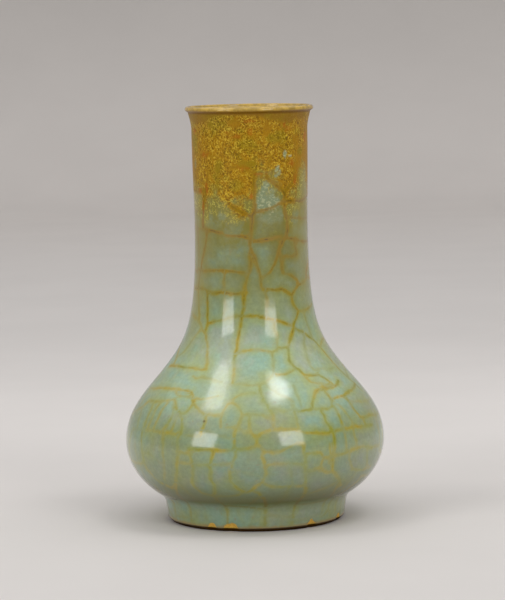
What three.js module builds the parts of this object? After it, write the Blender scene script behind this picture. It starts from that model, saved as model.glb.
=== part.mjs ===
// Long-neck vase of glazed stoneware, in millimetres, +Z up.
// The origin is on the vase's axis, at the level of the surface it stands on.
// The vase is thrown in five sections, which are luted together with slip and coated with glaze.

import * as THREE from 'three';

// Heights, each one added on top of the last

const footHeight = 13.9;          // table to the seam under the belly
const creaseRise = 2.1;           // seam to the start of the belly's underside
const undersideRise = 30.5;        // underside up to the widest place
const shoulderRise = 44.5;         // widest place to where the shoulder turns hollow
const sweepRise = 81;             // the hollow sweep up to the waist of the neck
const neckRise = 54;              // waist to the root of the flared lip
const flareRise = 12.75;          // root of the lip to its widest edge
const neckSeamRise = 27;          // hollow turn of the shoulder to the seam of the neck

// Radii of the glazed outside

const footRadius = 51.4;          // glaze edge above the foot's rim
const footFlare = 1.9;            // how much wider the foot is at its crease
const straightShare = 0.75;       // share of the foot's wall below the round crease
const creaseReach = 2.9;          // crease to the start of the underside
const bellyRadius = 75.25;
const shoulderRadius = 50.2;      // where the shoulder turns from round to hollow
const neckRadius = 32.8;          // waist of the neck
const neckTopRadius = 33.5;
const lipRadius = 37.1;
const lipEdgeRadius = 1.25;       // the rounded edge of the lip

// Slopes in degrees, from 0 for level outwards, and how far each curve keeps to the slope at its end

const upright = 90;
const undersideSlope = 30.6;
const shoulderSlope = 127.4;      // leans inwards
const undersideLowPull = 12.5;
const undersideHighPull = 12.5;
const shoulderLowPull = 19.2;
const shoulderHighPull = 17;
const sweepLowPull = 20.2;
const sweepHighPull = 54.5;
const neckPull = 18;
const flareLowPull = 11;
const flareHighPull = 0.4;

// Walls of clay

const bellyWall = 5;
const shoulderWall = 4.4;
const neckWall = 3.4;
const neckTopWall = 2.6;
const floorThickness = 5;
const heelReach = 14;             // the round inside corner, along the floor
const heelRise = 9;               // and up the wall

// Foot ring

const footRimWidth = 4.6;         // flat land that the vase stands on
const footBevel = 1.4;            // outside the land
const footInnerBevel = 0.8;       // inside the land
const footBevelRise = 1.5;
const footSeamWall = 9.6;         // width of the seam under the belly

// Coats of glaze and joints of slip

const glazeThickness = 0.9;
const glazeEdgeThickness = 0.4;   // where it thins at the foot and over the lip
const glazeEdgeGap = 0.15;        // bare strip between the glaze edge and the bevel
const liningThickness = 0.6;
const liningDepth = 4;            // top of the lip to the upper edge of the lining
const baseCoatThickness = 0.5;
const baseCoatEdgeHeight = 3;     // lower edge of the coat inside the foot
const slipThickness = 0.6;
const bond = 0.05;                // between a coat and what it covers
const nearest = 0.1;              // a cut takes the place of a point this near to it

// How finely the round forms are divided

const sides = 40;
const creaseSteps = 2;
const undersideSteps = 4;
const shoulderSteps = 4;
const sweepSteps = 6;
const neckSteps = 2;
const flareSteps = 3;
const lipSteps = 4;
const heelSteps = 3;

// Places that the pieces share

const undersideStart = footHeight + creaseRise;
const widest = undersideStart + undersideRise;
const shoulderTurn = widest + shoulderRise;
const waist = shoulderTurn + sweepRise;
const lipRoot = waist + neckRise;
const lipEdge = lipRoot + flareRise;
const glazeStart = footBevelRise + glazeEdgeGap;
const neckSeam = shoulderTurn + neckSeamRise;
const creaseRadius = footRadius + footFlare;

// Materials

function clay(color) {
  return new THREE.MeshStandardMaterial({ color, roughness: 0.85, metalness: 0 });
}

function glaze(color, roughness) {
  return new THREE.MeshStandardMaterial({ color, roughness, metalness: 0 });
}

const footClay = clay(0x4a3020);
const bodyClay = clay(0xb08a52);
const slipClay = clay(0x9c7a4c);
const celadon = glaze(0x8fa88c, 0.16);
const celadonInside = glaze(0x8a9a70, 0.2);

// The outline of the glazed outside, from the foot's rim to the lip. Each station holds its place,
// the way out of the surface, the way through the wall, and how much glaze and clay lie under it.
// The wall is measured square to the belly's surface, but level in the neck and the flared lip.

function along(start, startSlope, startPull, end, endSlope, endPull) {
  const handle = (point, slope, pull) => new THREE.Vector2(
    point.x + pull * Math.cos(THREE.MathUtils.degToRad(slope)),
    point.y + pull * Math.sin(THREE.MathUtils.degToRad(slope)),
  );
  return new THREE.CubicBezierCurve(
    start, handle(start, startSlope, startPull), handle(end, endSlope, -endPull), end,
  );
}

const level = new THREE.Vector2(1, 0);

function stations(curve, steps, glazeFrom, glazeTo, clayFrom, clayTo, through) {
  const found = [];
  for (let step = 0; step <= steps; step++) {
    const share = step / steps;
    const tangent = curve.getTangent(share);
    const out = new THREE.Vector2(tangent.y, -tangent.x);
    found.push({
      place: curve.getPoint(share),
      out,
      through: through ?? out,
      glaze: THREE.MathUtils.lerp(glazeFrom, glazeTo, share),
      clay: THREE.MathUtils.lerp(clayFrom, clayTo, share),
    });
  }
  return found;
}

// Where two curves meet, their last and first stations become one.

function chain(...runs) {
  const whole = [];
  for (const run of runs) {
    const last = whole.pop();
    if (last) {
      const first = run[0];
      first.out.add(last.out).normalize();
    }
    whole.push(...run);
  }
  return whole;
}

const footEdge = new THREE.Vector2(footRadius, glazeStart);
const crease = new THREE.Vector2(creaseRadius, footHeight);
const undersideFoot = new THREE.Vector2(creaseRadius + creaseReach, undersideStart);
const bellyEdge = new THREE.Vector2(bellyRadius, widest);
const shoulderPoint = new THREE.Vector2(shoulderRadius, shoulderTurn);
const waistPoint = new THREE.Vector2(neckRadius, waist);
const neckTop = new THREE.Vector2(neckTopRadius, lipRoot);
const lipPoint = new THREE.Vector2(lipRadius, lipEdge);

const footLine = new THREE.LineCurve(footEdge, footEdge.clone().lerp(crease, straightShare));
const creaseCurve = new THREE.QuadraticBezierCurve(footLine.v2, crease, undersideFoot);
const underside = along(
  undersideFoot, undersideSlope, undersideLowPull, bellyEdge, upright, undersideHighPull,
);
const shoulder = along(
  bellyEdge, upright, shoulderLowPull, shoulderPoint, shoulderSlope, shoulderHighPull,
);
const sweep = along(shoulderPoint, shoulderSlope, sweepLowPull, waistPoint, upright, sweepHighPull);
const neckLine = along(waistPoint, upright, neckPull, neckTop, upright, neckPull);
const flare = along(neckTop, upright, flareLowPull, lipPoint, upright, flareHighPull);

const lipEdgeWall = 2 * (lipEdgeRadius - glazeEdgeThickness - bond);
const footStations = chain(
  stations(footLine, 1, glazeEdgeThickness, glazeThickness, bellyWall, bellyWall),
  stations(creaseCurve, creaseSteps, glazeThickness, glazeThickness, bellyWall, bellyWall),
);
const bodyStations = chain(
  stations(underside, undersideSteps, glazeThickness, glazeThickness, bellyWall, bellyWall),
  stations(shoulder, shoulderSteps, glazeThickness, glazeThickness, bellyWall, shoulderWall),
  stations(sweep, sweepSteps, glazeThickness, glazeThickness, shoulderWall, neckWall),
  stations(neckLine, neckSteps, glazeThickness, glazeThickness, neckWall, neckTopWall, level),
  stations(flare, flareSteps, glazeThickness, glazeEdgeThickness, neckTopWall, lipEdgeWall, level),
);
const outline = chain(footStations, bodyStations);

// Surfaces under the outline, each one measured from the one before it. The lining thins with the glaze.

function under(list, depth) {
  return list.map((station) => station.place.clone().addScaledVector(station.out, -depth(station)));
}

function inside(list, depth) {
  return list.map((station) => station.place.clone()
    .addScaledVector(station.out, -station.glaze - bond)
    .addScaledVector(station.through, -depth(station)));
}

const lining = (station) => Math.min(liningThickness, station.glaze);

const glazeOuter = under(outline, () => 0);
const glazeInner = under(outline, (station) => station.glaze);
const clayOuter = under(outline, (station) => station.glaze + bond);
const clayInner = inside(bodyStations, (station) => station.clay);
const liningOuter = inside(bodyStations, (station) => station.clay + bond);
const liningInner = inside(bodyStations, (station) => station.clay + bond + lining(station));

// The stretch of a surface between two heights, with an exact point at each end.

function pointAt(surface, height) {
  for (let index = 1; index < surface.length; index++) {
    const below = surface[index - 1];
    const above = surface[index];
    if (height <= above.y || index === surface.length - 1) {
      return below.clone().lerp(above, (height - below.y) / (above.y - below.y)).setY(height);
    }
  }
  return surface[0].clone();
}

function between(surface, low, high) {
  const middle = surface.filter((point) => point.y > low + nearest && point.y < high - nearest);
  return [pointAt(surface, low), ...middle, pointAt(surface, high)];
}

function downward(points) {
  return points.slice().reverse();
}

// The floor of the vase with its round inside corner, from the axis out to the wall.

function well(surface, bottom) {
  const top = pointAt(surface, bottom + heelRise);
  const next = pointAt(surface, bottom + heelRise + nearest);
  const cornerRadius = top.x - heelRise * (next.x - top.x) / (next.y - top.y);
  const corner = new THREE.Vector2(cornerRadius, bottom);
  const start = new THREE.Vector2(cornerRadius - heelReach, bottom);
  const heel = new THREE.QuadraticBezierCurve(start, corner, top);
  return [new THREE.Vector2(0, bottom), ...heel.getPoints(heelSteps)];
}

function wellAndWall(surface, bottom, high) {
  return [...well(surface, bottom), ...between(surface, bottom + heelRise, high).slice(1)];
}

// The round edge of the lip, from outside to inside.

const lipCentre = new THREE.Vector2(lipRadius - lipEdgeRadius, lipEdge);

function overLip(radius) {
  const points = [];
  for (let step = 1; step < lipSteps; step++) {
    const turn = Math.PI * step / lipSteps;
    const way = new THREE.Vector2(Math.cos(turn), Math.sin(turn));
    points.push(lipCentre.clone().addScaledVector(way, radius));
  }
  return points;
}

// A round piece from its profile, turned from the lathe's upright Y to the vase's upright Z.

function turned(name, material, profile) {
  const geometry = new THREE.LatheGeometry(profile, sides);
  geometry.rotateX(Math.PI / 2);
  const mesh = new THREE.Mesh(geometry, material);
  mesh.name = name;
  return mesh;
}

function ring(name, material, outer, inner) {
  return turned(name, material, [...outer, ...downward(inner), outer[0].clone()]);
}

// A section of the wall between two seams, and the slip that fills a seam

function section(name, low, high) {
  return ring(name, bodyClay, between(clayOuter, low, high), between(clayInner, low, high));
}

function slip(name, low) {
  const high = low + slipThickness;
  return ring(name, slipClay, between(clayOuter, low, high), between(clayInner, low, high));
}

// Foot ring and the slip on it

const bellyBase = footHeight + slipThickness;
const footRimOuter = pointAt(clayOuter, glazeStart).x;
const standOuter = footRimOuter - footBevel;
const standInner = standOuter - footRimWidth;
const recessMouth = standInner - footInnerBevel;
const recessTop = pointAt(clayOuter, footHeight).x - footSeamWall;

function footRing() {
  const outer = [
    new THREE.Vector2(standOuter, 0),
    new THREE.Vector2(footRimOuter, footBevelRise),
    ...between(clayOuter, glazeStart, footHeight),
  ];
  const inner = [
    new THREE.Vector2(standInner, 0),
    new THREE.Vector2(recessMouth, footBevelRise),
    new THREE.Vector2(recessTop, footHeight),
  ];
  return ring('foot_ring', footClay, outer, inner);
}

function footSlip() {
  const outer = between(clayOuter, footHeight, bellyBase);
  const inner = [new THREE.Vector2(recessTop, footHeight), new THREE.Vector2(recessTop, bellyBase)];
  return ring('foot_slip', slipClay, outer, inner);
}

// Lower belly, a bowl that closes on the axis

const floorHeight = bellyBase + floorThickness;

function lowerBelly() {
  const outside = [new THREE.Vector2(0, bellyBase), ...between(clayOuter, bellyBase, widest)];
  const hollow = wellAndWall(clayInner, floorHeight, widest);
  return turned('lower_belly', bodyClay, [...outside, ...downward(hollow)]);
}

function lipRim() {
  const low = lipRoot + slipThickness;
  const outer = [...between(clayOuter, low, lipEdge), ...overLip(lipEdgeRadius - glazeEdgeThickness - bond)];
  return ring('lip_rim', bodyClay, outer, between(clayInner, low, lipEdge));
}

// Coats of glaze

const liningTop = lipEdge + lipEdgeRadius - liningDepth;

function outerGlaze() {
  const low = liningTop + bond;
  const face = [
    ...between(glazeOuter, glazeStart, lipEdge),
    ...overLip(lipEdgeRadius),
    ...downward(between(liningInner, low, lipEdge)),
  ];
  const back = [
    ...between(glazeInner, glazeStart, lipEdge),
    ...overLip(lipEdgeRadius - glazeEdgeThickness),
    ...downward(between(liningOuter, low, lipEdge)),
  ];
  return ring('outer_glaze', celadon, face, back);
}

function innerGlaze() {
  const back = wellAndWall(liningOuter, floorHeight + bond, liningTop);
  const face = wellAndWall(liningInner, floorHeight + bond + liningThickness, liningTop);
  return turned('inner_glaze', celadonInside, [...back, ...downward(face)]);
}

function baseGlaze() {
  const edgeShare = (footHeight - baseCoatEdgeHeight) / (footHeight - footBevelRise);
  const edgeRadius = THREE.MathUtils.lerp(recessTop, recessMouth, edgeShare) - bond;
  const cornerRadius = recessTop - bond;
  const top = bellyBase - bond;
  const face = [
    new THREE.Vector2(edgeRadius - baseCoatThickness, baseCoatEdgeHeight),
    new THREE.Vector2(edgeRadius, baseCoatEdgeHeight),
    new THREE.Vector2(cornerRadius, footHeight),
    new THREE.Vector2(cornerRadius, top),
    new THREE.Vector2(0, top),
  ];
  const back = [
    new THREE.Vector2(0, top - baseCoatThickness),
    new THREE.Vector2(cornerRadius - baseCoatThickness, top - baseCoatThickness),
  ];
  return turned('base_glaze', celadonInside, [...back, ...face]);
}

const vase = new THREE.Group();
vase.add(
  footRing(),
  footSlip(),
  lowerBelly(),
  slip('belly_slip', widest),
  section('upper_belly', widest + slipThickness, neckSeam),
  slip('neck_slip', neckSeam),
  section('neck', neckSeam + slipThickness, lipRoot),
  slip('lip_slip', lipRoot),
  lipRim(),
  outerGlaze(),
  innerGlaze(),
  baseGlaze(),
);

export default vase;
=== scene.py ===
"""A long-neck bottle vase in crackled celadon glaze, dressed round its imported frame."""

import math
import random
from collections import Counter

import bpy
import numpy as np
from bpy.props import FloatProperty, FloatVectorProperty, IntProperty, PointerProperty
from mathutils import Matrix, Quaternion, Vector, kdtree, noise


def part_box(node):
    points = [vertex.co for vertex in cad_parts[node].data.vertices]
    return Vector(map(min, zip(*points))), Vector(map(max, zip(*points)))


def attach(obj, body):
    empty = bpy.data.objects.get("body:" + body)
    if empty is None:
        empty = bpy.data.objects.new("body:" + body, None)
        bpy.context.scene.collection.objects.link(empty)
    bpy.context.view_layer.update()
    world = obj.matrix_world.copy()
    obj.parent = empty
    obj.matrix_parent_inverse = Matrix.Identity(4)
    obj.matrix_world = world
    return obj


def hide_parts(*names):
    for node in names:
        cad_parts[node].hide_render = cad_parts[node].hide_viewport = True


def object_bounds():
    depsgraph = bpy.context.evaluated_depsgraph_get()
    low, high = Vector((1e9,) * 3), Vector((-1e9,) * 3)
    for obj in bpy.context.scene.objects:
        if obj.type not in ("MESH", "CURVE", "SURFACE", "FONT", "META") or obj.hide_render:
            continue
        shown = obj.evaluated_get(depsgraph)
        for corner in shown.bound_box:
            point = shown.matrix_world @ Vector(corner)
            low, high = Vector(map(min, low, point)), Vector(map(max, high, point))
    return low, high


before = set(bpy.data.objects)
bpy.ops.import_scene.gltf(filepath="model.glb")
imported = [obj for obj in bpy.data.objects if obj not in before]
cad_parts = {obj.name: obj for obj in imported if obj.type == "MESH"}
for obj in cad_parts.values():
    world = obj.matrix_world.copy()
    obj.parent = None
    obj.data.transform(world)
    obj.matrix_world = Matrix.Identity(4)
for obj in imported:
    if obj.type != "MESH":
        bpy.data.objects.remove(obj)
cad_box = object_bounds()

bl_info = {
    "name": "Long-Neck Vase",
    "version": (1, 0, 0),
    "blender": (4, 5, 0),
    "location": "3D View > Sidebar > Vase",
    "description": "Makes a bottle vase with a crackled celadon glaze",
    "category": "Add Mesh",
}

MM = 0.001
FULL_TURN = 2 * math.pi
UPRIGHT = math.radians(90)
COAT_COLUMNS = 384
FOOT_COLUMNS = 256
INSIDE_COLUMNS = 128
STUDIO_COLUMNS = 96


# Sizes, colours and light that a user would change


def number(name, description, default, **kind):
    return FloatProperty(name=name, description=description, default=default, min=0, **kind)


def size(name, description, millimetres):
    return number(name, description, millimetres * MM, unit="LENGTH", precision=5)


def slope(name, description, degrees):
    return number(name, description, math.radians(degrees), subtype="ANGLE")


def share(name, description, default):
    return number(name, description, default, max=1, subtype="FACTOR")


def power(name, description, watts):
    return number(name, description, watts, unit="POWER")


def colour(name, description, *default):
    return FloatVectorProperty(
        name=name, description=description, default=default, min=0, max=1, subtype="COLOR"
    )


class VaseOutline(bpy.types.PropertyGroup):
    foot_radius: size("Foot radius", "Radius of the glaze edge at the foot", 51.4)
    glaze_start: size("Glaze start", "Height of the glaze edge", 1.65)
    foot_height: size("Foot height", "Height of the foot ring", 13.9)
    foot_flare: size("Foot flare", "How much the foot ring widens upwards", 1.9)
    crease_rise: size("Crease rise", "Height of the corner above the foot", 2.1)
    crease_reach: size("Crease reach", "Width of the corner above the foot", 2.9)
    belly_radius: size("Belly radius", "Radius at the widest place", 75.25)
    belly_height: size("Belly height", "Height of the widest place", 46.5)
    shoulder_radius: size("Shoulder radius", "Radius where shoulder turns to neck", 50.2)
    shoulder_height: size("Shoulder height", "Height where shoulder turns to neck", 91)
    waist_radius: size("Waist radius", "Radius where the neck is straight", 32.8)
    waist_height: size("Waist height", "Height where the neck is straight", 172)
    neck_top_radius: size("Neck top radius", "Radius of the neck under the lip", 33.5)
    neck_top_height: size("Neck top height", "Height at which the lip starts", 226)
    lip_radius: size("Lip radius", "Radius of the lip", 37.1)
    lip_edge_radius: size("Lip edge radius", "Radius of the lip's rounded edge", 1.25)
    lip_bead: size("Lip bead", "Height of the bead outside the lip", 1.8)
    top_height: size("Height", "Height of the vase", cad_box[1].z / MM)
    underside_slope: slope("Underside slope", "Slope where the belly leaves the foot", 30.6)
    shoulder_slope: slope("Shoulder slope", "Slope where shoulder turns to neck", 127.4)
    coat: size("Coat", "Thickness of the glaze", 0.6)
    thrown_ripple: size("Thrown ripple", "Depth of the throwing rings", 0.02)


class CeladonGlaze(bpy.types.PropertyGroup):
    blue_green: colour("Blue-green", "Clear glaze between the cracks", 0.226, 0.362, 0.266)
    grey_green: colour("Grey-green", "Clear glaze where it is thinner", 0.27, 0.325, 0.175)
    grey: colour("Grey", "Cloudy places of the clear glaze", 0.3, 0.335, 0.255)
    cloud: colour("Cloud", "Yellow-green haze round the cracks", 0.315, 0.345, 0.08)
    # Pooled glaze, also darkened as painted shade in the crease above the foot
    pooled_and_crease_shade: colour("Pooled", "Thick glaze above the foot", 0.104, 0.11, 0.017)
    neck_olive: colour("Neck olive", "Tinge of the haze up the neck", 0.205, 0.175, 0.002)
    # Side tinge: painted light, an ochre tinge standing for the glaze's yellower look at grazing angles on
    # the neck's sides
    grazing_light_tinge: colour("Side haze", "Ochre haze on the neck's sides", 0.3, 0.24, 0.01)
    ochre_stain: colour("Ochre stain", "Stain of the belly's cracks", 0.43, 0.335, 0.022)
    green_stain: colour("Green stain", "Paler stain of the belly's cracks", 0.29, 0.31, 0.04)
    brown_stain: colour("Brown stain", "Stain of the neck's cracks", 0.27, 0.172, 0.001)
    crack_core: colour("Crack core", "Dark middle of a crack", 0.12, 0.07, 0.006)
    gold: colour("Gold", "Golden glaze of the upper neck", 0.38, 0.192, 0.001)
    gold_pale: colour("Pale gold", "Strokes in the golden glaze", 0.665, 0.462, 0.036)
    gold_dark: colour("Dark gold", "Gaps between the strokes", 0.125, 0.062, 0.001)
    gold_olive: colour("Olive gold", "Greener golden places", 0.285, 0.2, 0.003)
    loose_fleck: colour("Loose fleck", "Flecks below the golden glaze", 0.53, 0.45, 0.05)
    under_lip: colour("Under the lip", "Smooth band under the lip", 0.285, 0.148, 0.005)
    # Under the lip: unflecked glaze, darkened as painted shade under the lip's flare
    rust: colour("Rust", "Rusty blotches of the upper neck", 0.4, 0.125, 0.001)
    blue_grey: colour("Blue-grey", "Ground of the icy places", 0.195, 0.25, 0.12)
    ice: colour("Ice", "Pale specks of the icy places", 0.53, 0.545, 0.3)
    lip: colour("Lip", "Thin glaze on the lip's edge", 0.62, 0.4, 0.06)
    # Lip line: brown glaze and painted shade under the lip's edge
    lip_line_and_shade: colour("Lip line", "Brown line under the lip's edge", 0.19, 0.085, 0.001)
    roughness: share("Roughness", "Roughness of the glaze's surface", 0.11)
    glow: share("Glow", "Roughness of its depth, which spreads highlights", 0.4)


class CrackleNet(bpy.types.PropertyGroup):
    bold_cell: size("Bold cell", "Half the width of a cell between bold cracks", 10.5)
    faint_cell: size("Faint cell", "Half the width of a cell between faint cracks", 6.5)
    seed: IntProperty(name="Seed", description="Chooses the cracks that grow by themselves", default=23)


class Clay(bpy.types.PropertyGroup):
    chip: colour("Chip", "Clay laid bare in a chip", 0.85, 0.52, 0.095)
    burnt: colour("Burnt", "Clay seen through the thin glaze edge", 0.38, 0.24, 0.066)
    foot: colour("Foot", "Bare clay of the foot rim", 0.052, 0.023, 0.001)
    foot_speck: colour("Foot speck", "Specks of the foot rim", 0.02, 0.01, 0.001)
    body: colour("Body", "Clay under the glaze", 0.43, 0.255, 0.09)
    body_speck: colour("Body speck", "Specks of the body", 0.12, 0.06, 0.02)
    slip: colour("Slip", "Fired slip of the joints", 0.33, 0.195, 0.075)
    slip_speck: colour("Slip speck", "Specks of the slip", 0.1, 0.05, 0.02)


class Studio(bpy.types.PropertyGroup):
    floor: colour("Floor", "Colour of the floor and the backdrop", 0.704, 0.673, 0.648)
    left_power: power("Left light", "Power of the low light on the left", 13.4)
    right_power: power("Right light", "Power of the low light on the right", 12.6)
    fill_power: power("Fill light", "Power of the soft fill light", 3.6)
    high_left_power: power("High left light", "Power of the high light on the left", 5.7)
    high_right_power: power("High right light", "Power of the high light on the right", 9.2)
    air: share("Air", "Brightness of the soft light from above", 0.77)


# Drawn cracks: strength, then each point's degrees rightwards from the front and millimetres up

NECK_CRACKS = [
    (0.7, -20, 206, -10, 206.3, -3, 205, 4, 203, 10, 201.5, 16, 200, 21, 198.3, 26, 195.5),
    (0.9, 26, 195.5, 30, 193.5, 34, 191.5, 37, 190),
    (0.6, -96, 214, -75, 213, -60, 213, -50, 214, -40, 212),
    (0.6, -84, 193, -75, 192, -60, 192, -53, 192.5, -49, 195),
    (0.5, -19, 222, -10, 223, 0, 222.5, 8, 224),
    (0.7, 39, 208, 44, 209, 48, 207, 50, 203, 49.5, 199, 45, 196, 40, 193.5, 36.5, 191),
    (1, -46, 204, -48.5, 198, -50, 194, -52, 189, -55, 185, -56.5, 179, -57, 174, -57, 171),
    (0.8, -78, 171, -70, 170.5, -57, 170.6, -45, 170.2, -32, 168.4, -22, 167.3, -10, 167, 0, 165),
    (0.9, 3.5, 203, 3.5, 197, 4, 192, 3.5, 187, 4, 182, 1, 178, 0.8, 174, 0, 170, -1, 165),
    (0.6, -1, 165, -2, 160, -1.5, 155, -1, 150, -6, 141, -8, 134),
    (0.9, -19.5, 184, -10, 181, -3, 179, 0, 178.2, 5, 180.5, 10, 181.2, 20, 182.4, 28, 184.4),
    (0.9, 28, 184.4, 34, 185.5, 38, 186, 45, 186, 60, 185.3, 75, 187, 92, 190),
    (1, 36.5, 191, 35.3, 186, 36, 180, 38.5, 175, 39.5, 170, 37, 166),
    (1, 0, 163.5, 5, 164, 10, 164.3, 20, 165.2, 27, 165.8, 35, 165, 45, 164.3, 55, 162.8),
    (0.7, 55, 162.8, 65, 161.8, 80, 161.5, 96, 163),
    (0.8, 34, 165, 31.5, 162, 28.5, 158.5, 26, 154.5, 23.5, 151, 20, 147.8, 18, 146),
    (0.6, 48, 163.5, 50, 158, 51, 155, 46, 154.3, 35.5, 154.5, 27, 154),
    (0.6, -50, 170, -53, 162, -57, 155, -61, 149, -64, 143, -66, 136),
    (0.35, -71, 171, -68, 163, -67, 150, -70, 138),
    (0.7, -70, 147, -57, 146.4, -45, 146.7, -30, 147.5, -20, 147, -12, 146.5, -4, 145.7),
    (0.55, -3, 163, 1, 157, 4, 153, 7, 146, 8.5, 142.5, 9, 137),
    (0.65, 29, 155, 31, 149, 31, 145.5, 38, 144.5, 45, 142.5, 50, 140, 52, 138),
    (0.75, 56, 138, 50, 137, 44, 134, 41, 132.6, 41, 128),
    (0.8, -74, 135.5, -60, 136, -50, 135.6, -40, 133.7, -30, 135, -20, 134, -12, 134.3, -6, 135),
    (0.9, 9, 137, 11, 136.7, 20, 136, 30, 136, 37, 133.7, 41, 132.6),
    (0.35, -28, 147, -28, 143, -28, 135, -27, 127, -28, 119.5),
    (0.55, 18, 146, 14, 144.5, 8.5, 142.5),
    (0.4, 12, 137, 13, 133, 14, 129.5, 12, 121),
    (0.5, 56, 138, 62, 139, 72, 141, 84, 140),
]
SHOULDER_CRACKS = [
    (0.8, -50, 135.6, -48.3, 131, -47, 126, -45.7, 120, -44.7, 116.5, -45.5, 112),
    (0.6, -76, 120.5, -68, 119.5, -60, 118.5, -52, 114.5, -45, 110.3, -40, 105.5, -34.5, 95.8),
    (0.6, -34.5, 95.8, -33.5, 93),
    (0.7, -44.7, 116.5, -40, 117.6, -35, 118.6, -28, 119.5, -20, 121, -12, 121.7, 3, 121.6),
    (0.8, 3, 121.6, 10, 120.4, 20, 119, 27, 117.8, 33, 115.8, 38, 114, 46, 111),
    (0.75, 46, 111, 52, 108.5, 58, 105.5, 63, 101, 66, 96, 69, 89, 73, 82, 78, 75),
    (0.5, -66, 136, -62, 128, -59, 122, -57, 117),
    (0.9, -8, 134.5, -8.5, 127, -10.5, 119, -12, 112, -13, 108, -13.3, 104, -14, 100),
    (0.65, -14, 100, -14, 95, -13.2, 91, -13, 86),
    (0.6, -14, 101, -8, 102.4, 0, 103, 8, 102.7, 14, 101.6, 18, 102.5),
    (0.7, 41, 131, 41, 129, 43, 126, 47, 123, 55, 122.3, 64, 123.5, 75, 125),
    (0.8, 47, 122.8, 43, 119, 39, 116, 38, 114),
    (0.5, 54, 122.4, 55.5, 118, 57, 111, 57, 106),
    (0.9, 38, 114, 33, 109, 28.5, 104, 27, 100, 26.2, 96.5, 28.8, 92.6, 31, 91.3, 33.3, 88.4),
    (1, 33.3, 88.4, 38, 87.8, 44, 87.5, 48, 85, 51.5, 81.3),
    (0.5, 33.3, 87.5, 35, 84.6, 38, 83.8, 44, 82.5),
    (0.75, 19, 104, 22, 103.3, 28.5, 103.7),
    (0.8, 28.5, 92.4, 26, 91.2, 22, 89.9, 18, 89.4, 13, 90),
    (0.55, 20, 119, 19, 114, 20.3, 110, 19, 104, 18, 102.5),
    (0.6, 14, 101.6, 14.3, 98, 13.5, 94, 12.8, 90),
    (0.85, -76, 91.3, -68, 91.8, -60, 92.1, -45, 92.3, -36, 92.1, -33.5, 92.5),
    (0.45, -41, 88.3, -38, 87.6, -33, 88, -27, 87.3, -20, 86),
    (0.3, -14, 85.3, -6, 85, 1, 84.6, 7, 86, 13, 90),
    (0.3, 46, 91, 50, 90.3, 56, 89, 64, 90),
]
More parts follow.
